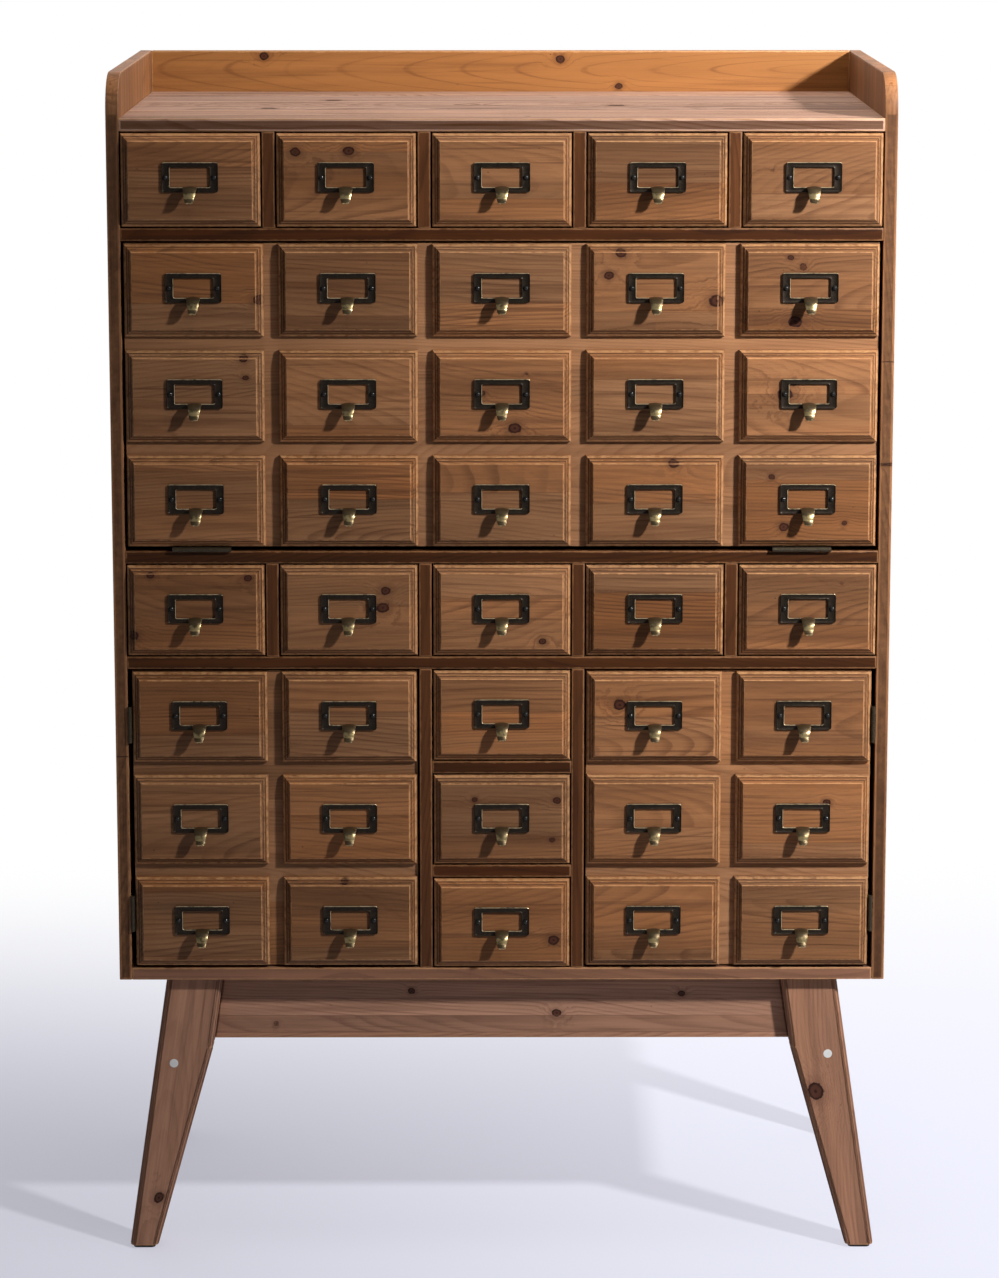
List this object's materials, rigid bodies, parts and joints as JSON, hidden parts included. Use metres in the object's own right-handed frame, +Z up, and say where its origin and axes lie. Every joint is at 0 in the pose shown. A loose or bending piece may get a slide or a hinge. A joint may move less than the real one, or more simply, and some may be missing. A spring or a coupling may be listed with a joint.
{
  "type": "apothecary cabinet",
  "caption": "Apothecary cabinet on splayed legs: moulded drawer fronts with label pulls, a drop-down flap and doors dressed as drawers, and a low gallery on top.",
  "frame": {"origin": "centre of the cabinet's outline on the floor, tongues of the pulls included", "axes": "+Z up, the drawers and flap face -Y, +X to the right as seen from the front"},
  "size_m": [0.8, 0.4244, 1.246],
  "materials": {
    "case_wood": "brown stained softwood, satin",
    "front_wood": "brown stained knotty softwood, worn edges",
    "drawer_wood": "stained front on a plainer softwood box",
    "leg_wood": "brown stained softwood, satin",
    "back_wood": "stained plywood",
    "pull_bronze": "aged dark bronze, rubbed to brass on edges",
    "hinge_bronze": "aged bronze",
    "fitting_steel": "zinc plated",
    "pad_plastic": "matte black"
  },
  "bodies": {
    "cabinet": {"right_side_panel": "case_wood", "left_side_panel": "case_wood", "top_panel": "case_wood", "gallery_board": "case_wood", "bottom_panel": "case_wood", "shelf_boards": "case_wood", "drawer_dividers": "case_wood", "lower_partitions": "case_wood", "centre_shelves": "case_wood", "back_panel": "back_wood", "front_right_leg": "leg_wood", "front_left_leg": "leg_wood", "foot_pads": "pad_plastic", "rear_right_leg": "leg_wood", "rear_left_leg": "leg_wood", "cross_aprons": "leg_wood", "side_aprons": "leg_wood", "case_hinge_leaves": "hinge_bronze", "hinge_pins": "hinge_bronze", "case_fittings": "fitting_steel"},
    "flap": {"flap_panel": "case_wood", "flap_false_fronts": "front_wood", "flap_pulls": "pull_bronze", "flap_hardware": "hinge_bronze"},
    "left_stay_arm": {"left_stay_arm": "fitting_steel"},
    "left_door": {"left_door_panel": "case_wood", "left_door_false_fronts": "front_wood", "left_door_pulls": "pull_bronze", "left_door_hardware": "hinge_bronze"},
    "right_stay_arm": {"right_stay_arm": "fitting_steel"},
    "right_door": {"right_door_panel": "case_wood", "right_door_false_fronts": "front_wood", "right_door_pulls": "pull_bronze", "right_door_hardware": "hinge_bronze"},
    "drawer_1_1": {"drawer_1_1": "drawer_wood", "drawer_1_1_pull": "pull_bronze"},
    "drawer_1_2": {"drawer_1_2": "drawer_wood", "drawer_1_2_pull": "pull_bronze"},
    "drawer_1_3": {"drawer_1_3": "drawer_wood", "drawer_1_3_pull": "pull_bronze"},
    "drawer_1_4": {"drawer_1_4": "drawer_wood", "drawer_1_4_pull": "pull_bronze"},
    "drawer_1_5": {"drawer_1_5": "drawer_wood", "drawer_1_5_pull": "pull_bronze"},
    "drawer_5_1": {"drawer_5_1": "drawer_wood", "drawer_5_1_pull": "pull_bronze"},
    "drawer_5_2": {"drawer_5_2": "drawer_wood", "drawer_5_2_pull": "pull_bronze"},
    "drawer_5_3": {"drawer_5_3": "drawer_wood", "drawer_5_3_pull": "pull_bronze"},
    "drawer_5_4": {"drawer_5_4": "drawer_wood", "drawer_5_4_pull": "pull_bronze"},
    "drawer_5_5": {"drawer_5_5": "drawer_wood", "drawer_5_5_pull": "pull_bronze"},
    "drawer_6_3": {"drawer_6_3": "drawer_wood", "drawer_6_3_pull": "pull_bronze"},
    "drawer_7_3": {"drawer_7_3": "drawer_wood", "drawer_7_3_pull": "pull_bronze"},
    "drawer_8_3": {"drawer_8_3": "drawer_wood", "drawer_8_3_pull": "pull_bronze"}
  },
  "joints": [
    {"name": "flap_hinge", "type": "hinge", "parent": "cabinet", "child": "flap", "pos_m": [0, -0.19075, 0.759], "axis": [-1, 0, 0], "range_deg": [-90, 0]},
    {"name": "left_stay_pivot", "type": "hinge", "parent": "flap", "child": "left_stay_arm", "pos_m": [-0.3755, -0.16225, 0.908], "axis": [-1, 0, 0], "range_deg": [0, 45]},
    {"name": "left_door_hinge", "type": "hinge", "parent": "cabinet", "child": "left_door", "pos_m": [-0.38475, -0.18925, 0.473], "axis": [0, 0, -1], "range_deg": [0, 105]},
    {"name": "right_stay_pivot", "type": "hinge", "parent": "flap", "child": "right_stay_arm", "pos_m": [0.3755, -0.16225, 0.908], "axis": [-1, 0, 0], "range_deg": [0, 45]},
    {"name": "right_door_hinge", "type": "hinge", "parent": "cabinet", "child": "right_door", "pos_m": [0.38475, -0.18925, 0.473], "axis": [0, 0, 1], "range_deg": [0, 105]},
    {"name": "drawer_1_1_slide", "type": "slide", "parent": "cabinet", "child": "drawer_1_1", "axis": [0, -1, 0], "range_m": [0, 0.23]},
    {"name": "drawer_1_2_slide", "type": "slide", "parent": "cabinet", "child": "drawer_1_2", "axis": [0, -1, 0], "range_m": [0, 0.23]},
    {"name": "drawer_1_3_slide", "type": "slide", "parent": "cabinet", "child": "drawer_1_3", "axis": [0, -1, 0], "range_m": [0, 0.23]},
    {"name": "drawer_1_4_slide", "type": "slide", "parent": "cabinet", "child": "drawer_1_4", "axis": [0, -1, 0], "range_m": [0, 0.23]},
    {"name": "drawer_1_5_slide", "type": "slide", "parent": "cabinet", "child": "drawer_1_5", "axis": [0, -1, 0], "range_m": [0, 0.23]},
    {"name": "drawer_5_1_slide", "type": "slide", "parent": "cabinet", "child": "drawer_5_1", "axis": [0, -1, 0], "range_m": [0, 0.23]},
    {"name": "drawer_5_2_slide", "type": "slide", "parent": "cabinet", "child": "drawer_5_2", "axis": [0, -1, 0], "range_m": [0, 0.23]},
    {"name": "drawer_5_3_slide", "type": "slide", "parent": "cabinet", "child": "drawer_5_3", "axis": [0, -1, 0], "range_m": [0, 0.23]},
    {"name": "drawer_5_4_slide", "type": "slide", "parent": "cabinet", "child": "drawer_5_4", "axis": [0, -1, 0], "range_m": [0, 0.23]},
    {"name": "drawer_5_5_slide", "type": "slide", "parent": "cabinet", "child": "drawer_5_5", "axis": [0, -1, 0], "range_m": [0, 0.23]},
    {"name": "drawer_6_3_slide", "type": "slide", "parent": "cabinet", "child": "drawer_6_3", "axis": [0, -1, 0], "range_m": [0, 0.23]},
    {"name": "drawer_7_3_slide", "type": "slide", "parent": "cabinet", "child": "drawer_7_3", "axis": [0, -1, 0], "range_m": [0, 0.23]},
    {"name": "drawer_8_3_slide", "type": "slide", "parent": "cabinet", "child": "drawer_8_3", "axis": [0, -1, 0], "range_m": [0, 0.23]}
  ],
  "couplings": [
    {"joint": "left_stay_pivot", "follows": "flap_hinge", "ratio": -0.5},
    {"joint": "right_stay_pivot", "follows": "flap_hinge", "ratio": -0.5}
  ]
}
